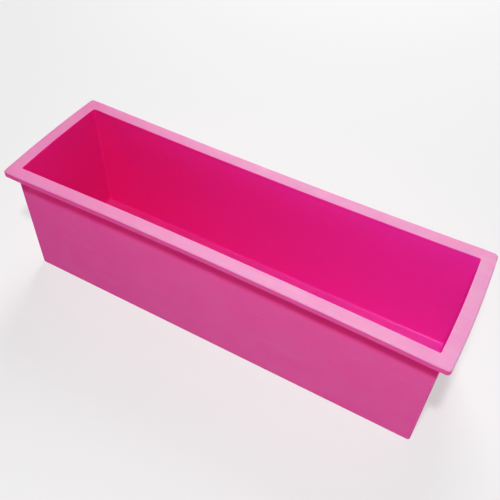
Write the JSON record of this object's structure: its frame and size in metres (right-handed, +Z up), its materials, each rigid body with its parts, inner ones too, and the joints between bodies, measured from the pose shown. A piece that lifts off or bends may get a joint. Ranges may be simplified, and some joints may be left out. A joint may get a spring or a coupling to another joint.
{
  "type": "soap loaf mould",
  "caption": "Long open flexible tub with a flat flange round its mouth, for pouring and setting a loaf of soap.",
  "frame": {"origin": "middle of the underside of the floor", "axes": "+Z up out of the mouth, +X along the length, front long wall at -Y"},
  "size_m": [0.28, 0.086, 0.085],
  "materials": {
    "silicone_body": "satin",
    "silicone_inner": "smooth, slightly glossy",
    "silicone_rim": "frosted matte"
  },
  "bodies": {
    "root": {"floor_panel": "silicone_inner", "front_wall": "silicone_body", "back_wall": "silicone_body", "left_end_wall": "silicone_body", "right_end_wall": "silicone_body", "rim_flange": "silicone_rim"}
  },
  "joints": []
}
